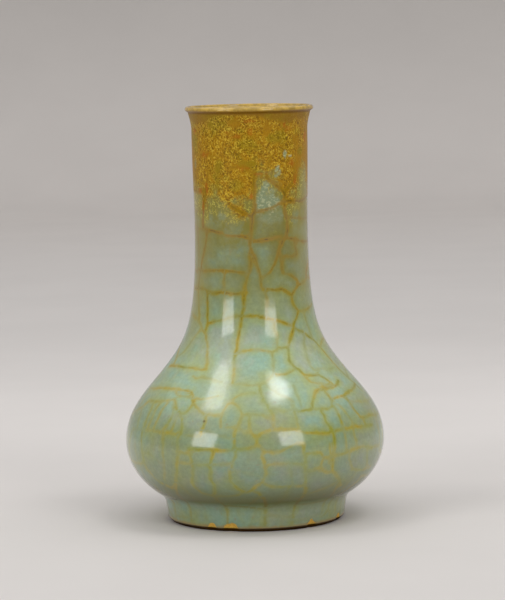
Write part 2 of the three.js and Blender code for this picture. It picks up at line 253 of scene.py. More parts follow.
BELLY_CRACKS = [
    (0.75, -80, 78, -72, 79, -60, 80.4, -50, 81, -41, 80.8, -37, 80.6),
    (0.45, -50, 80.9, -46, 78.4, -42, 77.8, -37, 78, -34, 77.4),
    (0.85, -37, 80.6, -35, 78.5, -32.8, 75.2, -30, 73, -27, 70.8, -24, 69.4),
    (0.5, -35, 77.6, -29, 77, -25, 77.6, -20, 79),
    (0.7, -66, 73.2, -60, 73.4, -55, 74, -50, 75, -46, 75.8, -44, 74, -41.5, 71, -37.5, 68.8),
    (0.6, -37.5, 68.8, -36, 66, -34.8, 62, -34.5, 58),
    (0.65, -32.8, 75, -33.6, 72, -35.5, 69.6, -37.5, 68.8),
    (0.5, -48.5, 75.4, -51, 71, -51, 66, -52, 62, -52, 58),
    (0.5, -44.5, 73.5, -42.5, 68, -43.5, 63, -46, 58.5),
    (0.4, -41, 70.8, -39.3, 66, -40, 61, -40, 58.4),
    (0.4, -55, 74, -56.5, 69, -56, 64, -57, 58),
    (0.45, -62, 73.2, -60.4, 69, -60, 62, -60.6, 57.5),
    (0.75, -24, 69.4, -23.3, 66.5, -24, 62, -25, 58),
    (0.5, -24, 69.4, -20, 69.4, -16, 69.2),
    (0.5, -15.5, 63, -16, 67, -15.5, 71, -13, 76, -10, 75.3, -7, 72.4, -6, 69, -7.5, 64.5),
    (0.35, -13, 76, -8.5, 79.5, -4, 80.6, 2, 80.3, 4, 78),
    (0.3, -72, 56.5, -66, 57, -61, 57.5, -52, 58.2, -46, 58.2),
    (0.5, -47, 58.4, -40, 58.2, -36.5, 57.6),
    (0.3, -36.5, 57.6, -30, 58, -25, 58),
    (0.6, -36.3, 59, -35.8, 54, -35.2, 48, -36, 43, -36.7, 38, -39, 32, -41, 28.5, -45, 26),
    (0.5, -35.6, 48.4, -31, 48.2, -28, 48.6, -27, 50.4),
    (0.8, -29.5, 50.4, -24, 50.6, -18.4, 50.8, -13, 50.6, -9, 50.9),
    (0.55, -29.7, 50.5, -29, 47, -28, 40, -29, 35, -30.5, 30, -28, 25, -26, 24),
    (0.85, -18.3, 51, -18.3, 48.5, -19.3, 45, -20, 42, -20, 38, -20.5, 34, -19.3, 30, -20, 26),
    (0.65, -20, 26, -21, 22.8, -20.5, 19, -18.5, 16, -18, 10, -18.5, 4),
    (0.4, -36, 42.7, -28, 42, -20, 42.2, -12, 43, -9.5, 43.3),
    (0.35, -44.5, 58.5, -44, 50, -43.5, 42, -44.5, 36, -47, 31),
    (0.55, -7.5, 64.5, -9, 60, -9, 54, -8.6, 47, -10, 43.5, -11.5, 38, -11.3, 33, -9.5, 29.5),
    (0.85, -9.5, 29.5, -7.5, 27.4, -5, 25.8, -2.5, 26.8, 0, 29.4, 2.5, 31.6),
    (0.5, 2.5, 31.6, 4.3, 37, 4, 42, 3, 47, 3.2, 51, 1, 54),
    (0.6, -2.4, 70, -2.6, 65, -1.8, 60.5, 0.5, 57.3, 0.8, 53.5, -3, 51.5, -9, 51.2),
    (0.6, 0.5, 57.3, 3, 60, 7, 61.3, 12, 61.5, 17, 61, 20, 60, 23, 58.8),
    (0.45, -6, 69, -2.4, 70, 3, 69.5, 7.5, 67, 8.5, 63, 7.5, 61.3),
    (0.4, -12.5, 63, -8, 63.6, -4.5, 60.5, -1.8, 60.5),
    (0.55, 3.2, 84.5, 3, 81, 4.5, 77.5, 7, 73.6, 8.5, 70, 8.5, 66),
    (0.35, 7, 73.6, 13, 71, 19, 71.5, 24, 70.5),
    (0.9, 23, 58.8, 26, 58.5, 30, 58, 33.5, 57.6, 36.5, 58.2),
    (0.6, 3.2, 50, 8, 49, 11, 49.6, 15, 52, 18, 53.5, 21.5, 53),
    (0.7, 21.5, 53, 21.3, 47.8, 25, 47.3, 29, 47.2, 30.5, 44.5, 34.3, 43),
    (0.9, 36.5, 58.2, 36.8, 54, 36.2, 49, 35.2, 44, 35.6, 40, 36.2, 35.4),
    (0.5, 33.8, 51, 34.2, 46, 33.6, 41),
    (0.6, 34.5, 45, 37, 44.8, 42, 45, 47, 46.4, 54, 46.8, 62, 45, 72, 44),
    (1, 58, 83, 54, 81.4, 51, 80.4, 45, 80.2, 38.5, 80.4, 35, 79, 32.5, 76.4, 30, 73.4, 29.6, 70.6),
    (0.7, 38.5, 80.4, 42, 81.4, 48, 82, 51.5, 81.3),
    (0.75, 22, 70.4, 25, 70.6, 29.6, 70.6, 34, 70.4, 38, 70.2, 41, 71),
    (0.8, 41.6, 79.8, 42.2, 77, 42.4, 74.6, 41, 71),
    (0.6, 42.4, 73, 43, 67, 43, 61, 43, 58),
    (1, 41, 71, 43.6, 74.2, 48, 75.4, 53, 75.2, 58, 76.2, 62, 76.8, 67, 77.4, 76, 79),
    (0.4, 43, 58, 43, 52, 43, 45),
    (0.7, 52.5, 75, 55, 71.5, 55.5, 68, 57, 64.5, 58, 62.8, 60, 58),
    (0.75, 57, 63, 62, 62.3, 67, 62.5, 76, 61.3, 88, 61),
    (0.95, 33.3, 70.3, 34.3, 67, 34.3, 63.5, 35.4, 60.5, 36.5, 58.2),
    (0.85, 36.5, 58, 41, 58.5, 46, 58.5, 52, 58.4, 58, 58, 66, 57),
    (0.35, 49.5, 59.5, 49, 55, 50, 50, 49, 46.5),
    (0.4, 19.5, 74, 19.5, 68, 20, 60),
    (0.6, 27, 38, 30, 37.6, 33, 35.4, 36.2, 35, 39, 32.8, 42, 29.6, 46, 25),
    (0.5, 21.5, 48, 22, 41, 22.3, 36.5, 23, 31, 23.6, 28),
    (0.7, 23.6, 28, 24.5, 25.5, 25, 22, 24, 18, 23.5, 11, 23, 4),
    (0.4, 22.3, 36.8, 27, 37.5, 31.5, 36, 29.5, 40, 30.5, 44.5),
    (0.35, 4, 42, 11, 42.7, 17, 42, 22, 41),
    (0.45, 46.5, 38.5, 48.5, 35, 52, 33.8, 58, 32.5, 66, 33),
    (0.4, 58, 45.6, 58.5, 40, 61, 35, 64, 33),
    (0.4, 45, 46, 45, 41, 46.5, 38.5),
    (0.4, 60, 28.5, 67, 27, 76, 25),
    (0.4, -5, 25.8, -10, 23.6, -15, 23, -21, 22.8, -26, 24),
    (0.45, 2.5, 31.6, 8, 29, 14, 28.5, 23.6, 28.5),
    (0.7, -1.5, 26.8, 1.5, 24.5, 4.2, 21, 5.3, 17, 5.5, 10, 5.2, 4),
    (0.55, -41, 28, -44, 22, -45, 15, -46, 8, -46, 3),
    (0.5, -60, 25, -62, 16, -63, 10, -64, 3),
    (0.5, -61, 57.5, -59, 46, -58, 36, -52, 28, -45, 26),
    (0.45, 42, 30, 44, 24, 45, 19, 46, 12, 45, 6),
    (0.45, -58, 40, -62, 38, -72, 37, -84, 38),
    (0.4, 60, 16, 60, 9, 61, 6),
]

# Height in millimetres at which the golden glaze ends, against degrees round the vase

GOLD_LINE = [
    (-180, 193), (-150, 199), (-120, 187), (-100, 194), (-84, 190), (-72, 191), (-60, 190), (-51, 186),
    (-44, 189), (-34, 188), (-27, 184), (-20, 181), (-12, 181), (-5, 183), (1, 188), (7, 199), (14, 201.5),
    (22, 201), (30, 197), (38, 188), (46, 186), (52, 190), (60, 199), (70, 201), (80, 192), (100, 187),
    (125, 197), (150, 190), (180, 193),
]

# Places of the neck, with twins on the back: degrees, height, half width and half height in millimetres

PLACES = {
    "icy": [
        (11, 187, 3.6, 8.5), (18, 187, 4.6, 8), (25, 186, 4.2, 4.6), (8, 183, 2.4, 4.5), (15, 195, 3, 3.6),
        (28.5, 203.6, 2.5, 3.2), (26, 200.5, 1.4, 1.6), (36.8, 213, 1.7, 2.6), (43, 212.3, 2.4, 1),
    ],
    "bluish": [
        (20, 177, 6.5, 4), (31, 178, 3, 4), (50, 177, 4, 5), (-44, 178, 2.6, 3.4), (-30, 178, 3.4, 3),
        (-70, 207, 2, 4),
    ],
    "rusty": [
        (-13.2, 223.4, 4.4, 1.3), (-22, 226, 2, 1), (1, 232, 3.4, 1.3), (1, 226, 1.6, 2.6),
        (-50, 213.5, 4.2, 2.2), (-7, 205.5, 4.4, 1.4), (-49.5, 193.5, 1.3, 4.4), (41, 227.2, 2.4, 1.7),
        (36, 230, 1.4, 2.6), (45.2, 207.8, 3, 2.6), (50.5, 198.6, 2, 3.6), (11, 202, 5, 1.2),
        (-62, 192.5, 3, 1.8), (-48, 200.5, 1.3, 1.4), (-55.5, 182, 0.9, 4.6), (-57, 174, 0.8, 2.6),
        (0.5, 190, 1.2, 2.2), (70, 222, 3, 3), (-70, 226, 2.6, 2),
    ],
    "mossy": [
        (-22, 227.5, 2.6, 1.6), (-9, 226.7, 3.4, 1.5), (54, 225, 4.4, 2.8), (62, 202, 4.4, 5),
        (28, 223, 3, 1.4), (-15, 196, 6, 4.5), (-24, 200, 3, 2.4), (-66, 216, 3, 6), (60, 214, 3.6, 2.6),
        (10, 207, 3, 1.6),
    ],
    "calm": [
        (16.8, 227.5, 3, 4.6), (51, 220.5, 4.2, 3), (-41, 230.5, 2.6, 1.6), (-14, 231, 4.6, 2.6),
        (75, 214, 8, 17), (-8, 207.5, 7, 2), (-34, 205, 2.4, 3), (-36, 192, 2, 4), (56, 206, 5, 10),
        (26, 196.5, 7, 3.4), (-78, 212, 4, 16), (2, 208, 3, 1.4),
    ],
    # Painted light: ochre tinge at the neck's sides as seen from the front, for the glaze's look at grazing
    # angles
    "painted_side_tinge": [(-72, 168, 15, 52), (66, 172, 13, 48)],
}
TWIN_TURN = 173

# Chips at the glaze edge: degrees, height, half width, half height and depth in millimetres

CHIPS = [
    (-16.3, 3, 5.3, 3.1, 1.1), (-29.6, 3, 3.2, 2.6, 0.8), (37.5, 3.2, 3.4, 2.3, 0.9),
    (65.6, 3.2, 2.8, 2.3, 0.7), (118, 2.4, 3, 3, 0.8), (164, 2.2, 2.4, 1.8, 0.6), (-142, 2.6, 3.4, 2.6, 0.8),
]

# Middle of the pinhole in metres

PINHOLE = (-0.02836, -0.0637, 0.0658)

# Lengths of the crackle in millimetres

DRAWN_STEP = 0.9
GROWN_STEP = 1.1
MEETING_GAP = 1.3
PULLING_GAP = 5
TRIAL_PITCH = 3.2
CRACKLE_START = 2.4
CRACKLE_END = 212
FAINT_END = 84

# Radius and height in millimetres: the coat's edge inside the mouth and the foot ring below its top

MOUTH_EDGE = [(33.9, 238.35), (33, 237.78), (32.35, 236.95), (31.85, 236.05)]
FOOT_OUTSIDE = [
    (44.95, 0), (49.2, 0), (49.65, 0.18), (50.2, 0.7), (50.78, 1.35), (50.93, 1.6), (51.3, 6), (51.86, 10.9),
    (52.4, 12.8),
]
FOOT_INSIDE = [(43.8, 7), (44.12, 1.8), (44.4, 0.7), (44.7, 0.2)]
FOOT_TOP_RADII = (52.9, 43.4)


# Curves of the outline, as radius and height in metres


def in_metres(points):
    return [Vector(point) * MM for point in points]


def bend(start, start_slope, start_pull, end, end_slope, end_pull, count):
    """Points of a curve from start to just short of end, with pulls in millimetres."""
    a, d = Vector(start), Vector(end)
    b = a + Vector((math.cos(start_slope), math.sin(start_slope))) * start_pull * MM
    c = d - Vector((math.cos(end_slope), math.sin(end_slope))) * end_pull * MM
    points = []
    for step in range(count):
        t = step / count
        u = 1 - t
        points.append(a * u**3 + b * 3 * u * u * t + c * 3 * u * t * t + d * t**3)
    return points


def outer_outline(vase):
    """The glazed outside, from the glaze edge at the foot up to the lip's edge."""
    edge = Vector((vase.foot_radius, vase.glaze_start))
    crease = Vector((vase.foot_radius + vase.foot_flare, vase.foot_height))
    turn = edge.lerp(crease, 0.75)
    under = crease + Vector((vase.crease_reach, vase.crease_rise))
    belly = (vase.belly_radius, vase.belly_height)
    shoulder = (vase.shoulder_radius, vase.shoulder_height)
    waist = (vase.waist_radius, vase.waist_height)
    neck_top = (vase.neck_top_radius, vase.neck_top_height)
    lip = Vector((vase.lip_radius, vase.top_height - vase.lip_bead))
    under_lip = lip - Vector((1.75 * MM, 1.6 * MM))
    flare_slope, ledge_slope = math.radians(78), math.radians(35)
    points = [edge.lerp(turn, (step / 13) ** 1.25) for step in range(13)]
    for step in range(9):
        t = step / 9
        points.append(turn * (1 - t) ** 2 + crease * 2 * t * (1 - t) + under * t * t)
    points += bend(under, vase.underside_slope, 12.5, belly, UPRIGHT, 12.5, 34)
    points += bend(belly, UPRIGHT, 19.2, shoulder, vase.shoulder_slope, 17, 46)
    points += bend(shoulder, vase.shoulder_slope, 20.2, waist, UPRIGHT, 54.5, 62)
    points += bend(waist, UPRIGHT, 18, neck_top, UPRIGHT, 18, 34)
    points += bend(neck_top, UPRIGHT, 4.5, under_lip, flare_slope, 3.6, 11)
    points += bend(under_lip, ledge_slope, 0.8, lip, UPRIGHT, 0.6, 5)
    return points


def over_lip(vase, count=12):
    """Points over the rounded edge of the lip, from its outside to its inside."""
    points = []
    for step in range(count + 1):
        turn = math.pi * step / count
        rise = vase.lip_bead if 2 * step < count else vase.lip_edge_radius
        across = vase.lip_radius + vase.lip_edge_radius * (math.cos(turn) - 1)
        points.append(Vector((across, vase.top_height + rise * (math.sin(turn) - 1))))
    return points


def radius_at(outline, height):
    return float(np.interp(height, [p.y for p in outline], [p.x for p in outline]))


def round_point(outline, turn, height):
    """The point of the glazed outside at an angle from the front and a height."""
    radius = radius_at(outline, height)
    return Vector((radius * math.sin(turn), -radius * math.cos(turn), height))


def on_vase(outline, degrees, height):
    """The same from degrees and a height in millimetres."""
    return round_point(outline, math.radians(degrees), height * MM)


# Round meshes


def turned(name, profile, columns, closed=True, shape=None):
    """A round mesh, smooth but for its sharp edges, from a profile of radius and height.

    A profile that starts on the axis ends there too. shape moves the points before the mesh is made."""
    poles = profile[0][0] < MM
    rings = profile[1:-1] if poles else profile
    turns = np.arange(columns) * (FULL_TURN / columns)
    spokes = np.stack((np.sin(turns), -np.cos(turns), np.ones(columns)), 1)
    sizes = np.array([(radius, radius, height) for radius, height in rings])
    points = (sizes[:, None] * spokes).reshape(-1, 3)
    if shape:
        points = shape(points)
    beside = [(column, (column + 1) % columns) for column in range(columns)]
    faces = []
    for row in range(len(rings) if closed and not poles else len(rings) - 1):
        low, high = row * columns, (row + 1) % len(rings) * columns
        faces += [(low + a, low + b, high + b, high + a) for a, b in beside]
    if poles:
        count = len(points)
        points = np.vstack((points, (0, 0, profile[0][1]), (0, 0, profile[-1][1])))
        faces += [(count, b, a) for a, b in beside]
        faces += [(count + 1, count - columns + a, count - columns + b) for a, b in beside]
    return meshed(name, points.tolist(), faces)


def meshed(name, points, faces):
    mesh = bpy.data.meshes.new(name)
    mesh.from_pydata(points, [], faces)
    mesh.validate()
    mesh.update()
    mesh.polygons.foreach_set("use_smooth", [True] * len(mesh.polygons))
    mesh.set_sharp_from_angle(angle=math.radians(50))
    piece = bpy.data.objects.new(name, mesh)
    bpy.context.scene.collection.objects.link(piece)
    return piece


def polar(points):
    """Degrees round the vase from the front, and radius and height in millimetres."""
    x, y, z = points.T / MM
    return np.degrees(np.arctan2(x, -y)), np.hypot(x, y), z


def across_from(degrees, turns, radii):
    """The way in millimetres round the vase from an angle."""
    return np.radians((turns - degrees + 180) % 360 - 180) * radii


def chip_dent(points):
    """How deep the chips go at each point, and how far each point lies inside one, from 0 to 1."""
    turns, radii, heights = polar(points)
    depth, inside = np.zeros((2, len(points)))
    for degrees, height, wide, tall, deep in CHIPS:
        across = across_from(degrees, turns, radii)
        ragged = 1 + 0.10 * np.sin(across * 1.1 + degrees) + 0.06 * np.sin(heights * 2.1 + degrees)
        side, rise = np.abs(across) / wide, np.abs(heights - height + 1.2) / (tall + 1.2)
        away = (0.4 * np.hypot(side, rise) + 0.6 * (side + rise)) * ragged
        depth = np.maximum(depth, deep * np.clip(1 - away**2, 0, 1) ** 0.7)
        inside = np.maximum(inside, np.clip(1.6 - away, 0, 1.6) / 1.6)
    return depth, inside


def moved_out(points, change):
    """The points moved away from the axis by millimetres."""
    keep = 1 + change / np.maximum(polar(points)[1], 1)
    return points * np.stack((keep, keep, np.ones(len(points))), 1)


def chipped(points):
    return moved_out(points, -chip_dent(points)[0])


def thrown(points, ripple):
    """The points with the shallow rings and the slow waver that throwing by hand leaves."""
    degrees, _, heights = polar(points)
    turns = np.radians(degrees)
    wave = np.sin(heights * 0.64 + 0.6 * np.sin(turns + 0.8)) + 0.6 * np.sin(heights * 1.13 + 1.7)
    waver = 0.9 * np.sin(2 * turns + 0.4) * np.sin(heights * 0.021) + 0.5 * np.sin(3 * turns + 2)
    fade = np.clip((heights - 12) / 20, 0, 1) * np.clip((232 - heights) / 20, 0, 1)
    return moved_out(points, ripple / MM * fade * (0.6 * wave + waver))


# The crackle


def tree_of(points):
    """A tree that finds the nearest of the points."""
    tree = kdtree.KDTree(len(points))
    for index, point in enumerate(points):
        tree.insert(point, index)
    tree.balance()
    return tree


def drawn_line(outline, numbers):
    """A crack's points on the vase, close together, from the numbers of its few points."""
    points = [Vector(pair) for pair in zip(numbers[::2], numbers[1::2])]
    line = []
    for index in range(len(points) - 1):
        a, b = points[index], points[index + 1]
        is_last = index == len(points) - 2
        leave = (b - points[max(index - 1, 0)]) * 0.22
        arrive = (points[index + 1 if is_last else index + 2] - a) * 0.22
        steps = max(2, round((on_vase(outline, *b) - on_vase(outline, *a)).length / (DRAWN_STEP * MM)))
        for step in range(steps + is_last):
            t = step / steps
            place = a.lerp(b, t * t * (3 - 2 * t)) + leave * t * (1 - t) ** 2 - arrive * t * t * (1 - t)
            spot = on_vase(outline, place.x, place.y)
            sway = noise.noise(spot / (5 * MM)) * 0.35 + noise.noise(spot / (1.7 * MM)) * 0.25
            line.append(on_vase(outline, place.x + sway * MM / spot.xy.length * 57, place.y + sway))
    return line


class Net:
    """All cracks so far, each with its points and its strength."""

    def __init__(self):
        self.lines = []
        self.strengths = []
        self.tree = None

    def add(self, line, strength):
        self.lines.append(line)
        self.strengths.append(strength)
        self.tree = None

    def nearest(self, place):
        if self.tree is None:
            self.tree = tree_of([point for line in self.lines for point in line])
        return self.tree.find(place)


def grown_line(outline, net, start, heading, draw, low, high):
    """A crack that runs from start until it meets another one or the end of the glaze."""
    place, line = start.copy(), []
    turn = draw.uniform(-0.016, 0.016)
    gap = 1.5 * MM
    for count in range(90):
        radius = place.xy.length
        around = Vector((-place.y, place.x, 0)) / radius
        rise = radius_at(outline, place.z + gap) - radius_at(outline, place.z - gap)
        climb = (Vector((place.x, place.y, 0)) / radius * rise + Vector((0, 0, 2 * gap))).normalized()
        ahead = around * math.cos(heading) + climb * math.sin(heading)
        found, _, away = net.nearest(place)
        if count > 3 and away < PULLING_GAP * MM:
            pull = (found - place).normalized()
            if pull.dot(ahead) > 0.1:
                ahead = (ahead + pull * 0.35).normalized()
                heading = math.atan2(ahead.dot(climb), ahead.dot(around))
        heading += turn + draw.gauss(0, 0.07)
        place = place + ahead * (GROWN_STEP * MM)
        if not low < place.z < high:
            break
        place = round_point(outline, math.atan2(place.x, -place.y), place.z)
        line.append(place)
        found, _, away = net.nearest(place)
        if away < MEETING_GAP * MM:
            line.append(found.copy())
            break
    return line


def fill_with_cracks(outline, net, half_cell, strengths, draw, low, high, upright_share):
    """Adds cracks where the net is open, until no point lies further from a crack than it may."""
    spots = []
    height, pitch = low, TRIAL_PITCH * MM
    while height < high:
        count = int(FULL_TURN * radius_at(outline, height) / pitch)
        for index in range(count):
            turn = FULL_TURN * (index + draw.random() * 0.6) / count
            spots.append(round_point(outline, turn, height))
        height += pitch
    limits = [half_cell * (1 + 0.35 * noise.noise(s / (30 * MM))) for s in spots]
    ways = [net.nearest(s)[2] for s in spots]
    for _ in range(400):
        openness = [w / m for w, m in zip(ways, limits)]
        widest = max(range(len(spots)), key=openness.__getitem__)
        if openness[widest] < 1:
            break
        start = spots[widest]
        away = (net.nearest(start)[0] - start).normalized()
        around = Vector((-start.y, start.x, 0)).normalized()
        heading = math.atan2(away.z, away.dot(around))
        if draw.random() < upright_share:
            heading = UPRIGHT
        heading += draw.gauss(0, 0.25)
        ahead = grown_line(outline, net, start, heading, draw, low, high)
        behind = grown_line(outline, net, start, heading + math.pi, draw, low, high)
        line = behind[::-1] + [start] + ahead
        net.add(line, draw.uniform(*strengths))
        fresh = tree_of(line)
        ways = [min(w, fresh.find(s)[2]) for w, s in zip(ways, spots)]


def crackle_net(outline, settings):
    """The whole crackle: what is drawn, then bold and faint cracks wherever there is room."""
    net = Net()
    for strength, *numbers in NECK_CRACKS + SHOULDER_CRACKS + BELLY_CRACKS:
        net.add(drawn_line(outline, numbers), strength)
    draw = random.Random(settings.seed)
    bold, low, top = settings.bold_cell, CRACKLE_START * MM, CRACKLE_END * MM
    fill_with_cracks(outline, net, bold * 1.3, (0.55, 0.95), draw, low, top, 0.35)
    fill_with_cracks(outline, net, bold, (0.3, 0.65), draw, low, top, 0.3)
    fill_with_cracks(outline, net, settings.faint_cell, (0.12, 0.34), draw, low, FAINT_END * MM, 0.2)
    return net


def crack_marks(points, net):
    """For each point: the way to the nearest crack, how far it is, and how strong the crack is there."""
    spots, strengths, first, last = [], [], [], []
    for line, strength in zip(net.lines, net.strengths):
        offset = random.Random(len(spots)).uniform(0, 50)
        for index, spot in enumerate(line):
            along = index * DRAWN_STEP
            vary = noise.noise(Vector((along / 9, offset, 0))) * 0.45
            vary += noise.noise(Vector((along / 2.6, offset, 7))) * 0.25
            first.append(len(spots) - (index > 0))
            last.append(len(spots) + (index < len(line) - 1))
            spots.append(spot)
            strengths.append(strength * (0.85 + vary))
    tree = tree_of(spots)
    nearest = np.array([tree.find(point)[1] for point in points.tolist()])
    spots = np.array(spots)
    start = spots[nearest]
    best = start - points
    best_away = np.linalg.norm(best, axis=1)
    for beside in (first, last):
        run = spots[np.array(beside)[nearest]] - start
        length = np.maximum((run * run).sum(1), 1e-12)
        t = np.clip(((points - start) * run).sum(1) / length, 0, 1)
        way = start + run * t[:, None] - points
        away = np.linalg.norm(way, axis=1)
        closer = away < best_away
        best[closer] = way[closer]
        best_away[closer] = away[closer]
    return best / MM, best_away / MM, np.array(strengths)[nearest]


def above_gold_line(points):
    """How far each point lies above the edge of the golden glaze, in millimetres."""
    turns, _, heights = polar(points)
    return heights - np.interp(turns, *zip(*GOLD_LINE))


def place_mark(points, places):
    """How far each point lies inside one of the places or of their twins on the back, from 0 to 1."""
    turns, radii, heights = polar(points)
    inside = np.zeros(len(points))
    for degrees, height, wide, tall in places:
        for twin in (0, TWIN_TURN):
            across = across_from(degrees + twin, turns, radii)
            away = np.hypot(across / wide, (heights - height) / tall)
            inside = np.maximum(inside, np.clip(1.5 - away, 0, 1))
    return inside


def mark(mesh, name, values):
    """Stores a number or a vector on each point of a mesh, for its material to read."""
    values = np.asarray(values, np.float32)
    kind, field = ("FLOAT", "value") if values.ndim == 1 else ("FLOAT_VECTOR", "vector")
    mesh.attributes.new(name, kind, "POINT").data.foreach_set(field, values.ravel())


def mesh_points(mesh):
    flat = np.zeros(len(mesh.vertices) * 3)
    mesh.vertices.foreach_get("co", flat)
    return flat.reshape(-1, 3)


# Materials. Heights and the ways to cracks are in millimetres, and the coordinates in metres


class Amount:
    """A value that a material works out, which adds and multiplies as a number does."""

    def __init__(self, mix, socket):
        self.mix = mix
        self.socket = socket

    def __add__(self, other):
        return self.mix.math("ADD", self, other)

    def __sub__(self, other):
        return self.mix.math("SUBTRACT", self, other)

    def __mul__(self, other):
        return self.mix.math("MULTIPLY", self, other)

    def most(self, other):
        return self.mix.math("MAXIMUM", self, other)

    def capped(self):
        return self.mix.math("MINIMUM", self, 1)

    def left(self):
        """What is left of 1."""
        return self.mix.math("SUBTRACT", 1, self)

    def ramp(self, low, high, start=0, end=1):
        """A smooth step from start to end while the value goes from low to high."""
        joins = [("Value", self), ("From Min", low), ("From Max", high), ("To Min", start), ("To Max", end)]
        made = self.mix.node("ShaderNodeMapRange", joins, interpolation_type="SMOOTHSTEP")
        return Amount(self.mix, made.outputs["Result"])


class Mixture:
    """A material's nodes, joined as they are made."""

    def __init__(self, name):
        self.material = bpy.data.materials.new(name)
        self.material.use_nodes = True
        self.tree = self.material.node_tree
        self.place = self.node("ShaderNodeTexCoord").outputs["Object"]
        self.height = self.along("Z")

    def node(self, kind, joins=(), **settings):
        made = self.tree.nodes.new(kind)
        for name, value in settings.items():
            setattr(made, name, value)
        for name, value in joins:
            self.join(value, made.inputs[name])
        return made

    def join(self, source, target):
        if isinstance(source, Amount):
            source = source.socket
        if isinstance(source, bpy.types.NodeSocket):
            self.tree.links.new(source, target)
        elif target.type == "RGBA":
            target.default_value = (*source, 1)
        else:
            target.default_value = source

    def math(self, kind, *values):
        made = self.node("ShaderNodeMath", enumerate(values), operation=kind)
        return Amount(self, made.outputs[0])

    def vector(self, kind, *values):
        return self.node("ShaderNodeVectorMath", enumerate(values), operation=kind).outputs["Vector"]

    def length(self, way):
        made = self.node("ShaderNodeVectorMath", [(0, way)], operation="LENGTH")
        return Amount(self, made.outputs["Value"])

    def along(self, axis):
        """The coordinate along an axis, in millimetres."""
        made = self.node("ShaderNodeSeparateXYZ", [(0, self.place)])
        return Amount(self, made.outputs[axis]) * 1000

    def read(self, name, field="Fac"):
        """What is stored on the mesh's points."""
        return Amount(self, self.node("ShaderNodeAttribute", attribute_name=name).outputs[field])

    def blend(self, amount, under, over):
        joins = [("Factor", amount), ("A", under), ("B", over)]
        return self.node("ShaderNodeMix", joins, data_type="RGBA").outputs["Result"]

    def shaded(self, tone, amount):
        return self.vector("MULTIPLY", tone, amount)

    def grain(self, scale, detail=2, roughness=0.5, offset=0, place=None, stretch=1):
        """Noise from 0 to 1, with features about 1/scale metres across."""
        place = place or self.place
        if offset or stretch != 1:
            joins = [("Vector", place), ("Location", (offset,) * 3), ("Scale", (1, 1, stretch))]
            place = self.node("ShaderNodeMapping", joins).outputs["Vector"]
        joins = [("Vector", place), ("Scale", scale), ("Detail", detail), ("Roughness", roughness)]
        return Amount(self, self.node("ShaderNodeTexNoise", joins).outputs["Fac"])

    def sway(self, reach, *grain):
        """Noise turned into a number from -reach/2 to reach/2."""
        return (self.grain(*grain) - 0.5) * reach

    def warped(self, scale, reach):
        """The coordinates pushed about by noise, by up to reach metres."""
        joins = [("Vector", self.place), ("Scale", scale)]
        push = self.node("ShaderNodeTexNoise", joins, normalize=False).outputs["Color"]
        return self.vector("MULTIPLY_ADD", push, (reach,) * 3, self.place)

    def cells(self, scale, feature, place):
        joins = [("Vector", place), ("Scale", scale)]
        made = self.node("ShaderNodeTexVoronoi", joins, feature=feature)
        return Amount(self, made.outputs["Distance"])

    def finish(self, base, roughness, relief, level=0.5, more=()):
        """The finished material. relief is pairs of a height and the metres that 1 of it stands for."""
        normal = None
        for height, distance in relief:
            joins = [("Strength", 1), ("Distance", distance), ("Height", height)]
            if normal:
                joins.append(("Normal", normal))
            normal = self.node("ShaderNodeBump", joins).outputs["Normal"]
        ends = [("Base Color", base), ("Roughness", roughness), ("Normal", normal)]
        for name, value in ends + [("Specular IOR Level", level), *more]:
            self.join(value, self.tree.nodes["Principled BSDF"].inputs[name])
        return self.material


def clear_glaze(mix, glaze, gap, strength):
    """Colour between the cracks: bluish, grey and grey-green places, a yellow-green haze round cracks, and
    painted light and shade.
    """
    up = mix.height
    neck = up.ramp(95, 185)
    tone = mix.blend(mix.grain(26, 3, 0.55).ramp(0.35, 0.68), glaze.blue_green, glaze.grey_green)
    cloudy = mix.grain(42, 4, 0.65, 15).ramp(0.46, 0.68, 0, 0.75) * neck.ramp(0, 1, 1, 0.2)
    tone = mix.blend(cloudy, tone, glaze.grey)
    tone = mix.blend(mix.grain(38, 4, 0.6, 8).ramp(0.48, 0.74, 0, 0.6), tone, glaze.cloud)
    haze = gap.ramp(0.4, 6, 0.85, 0) * mix.math("SQRT", strength)
    haze = haze * mix.grain(60, 3, 0.6, 5).ramp(0.3, 0.7, 0.25, 1) * neck.ramp(0, 1, 0.95, 1.45)
    tone = mix.blend(haze.capped(), tone, mix.blend(neck, glaze.cloud, glaze.neck_olive))
    spots = mix.grain(48, 4, 0.65, 12).ramp(0.36, 0.66, 0.35, 1)
    tone = mix.blend(neck.ramp(0, 1, 0, 0.84) * spots, tone, glaze.neck_olive)
    freckle = mix.grain(260, 3, 0.7, 21).ramp(0.54, 0.72, 0, 0.3) * neck.ramp(0, 1, 0.6, 1.3)
    tone = mix.blend(freckle, tone, glaze.cloud)
    tone = mix.shaded(tone, mix.grain(430, 3, 0.65).ramp(0.25, 0.78, 0.9, 1.09))
    # Painted light and shade: the shoulder lighter where it faces the top lights, the neck darker, and
    # painted shade under the belly above the foot
    painted_shade_under_belly = mix.math("MINIMUM", up.ramp(9, 16, 0.03, 0.18), up.ramp(18, 58, 0.18, 0))
    return mix.shaded(tone, up.ramp(60, 84, 1, 1.3) - up.ramp(92, 150, 0, 0.37) - painted_shade_under_belly)


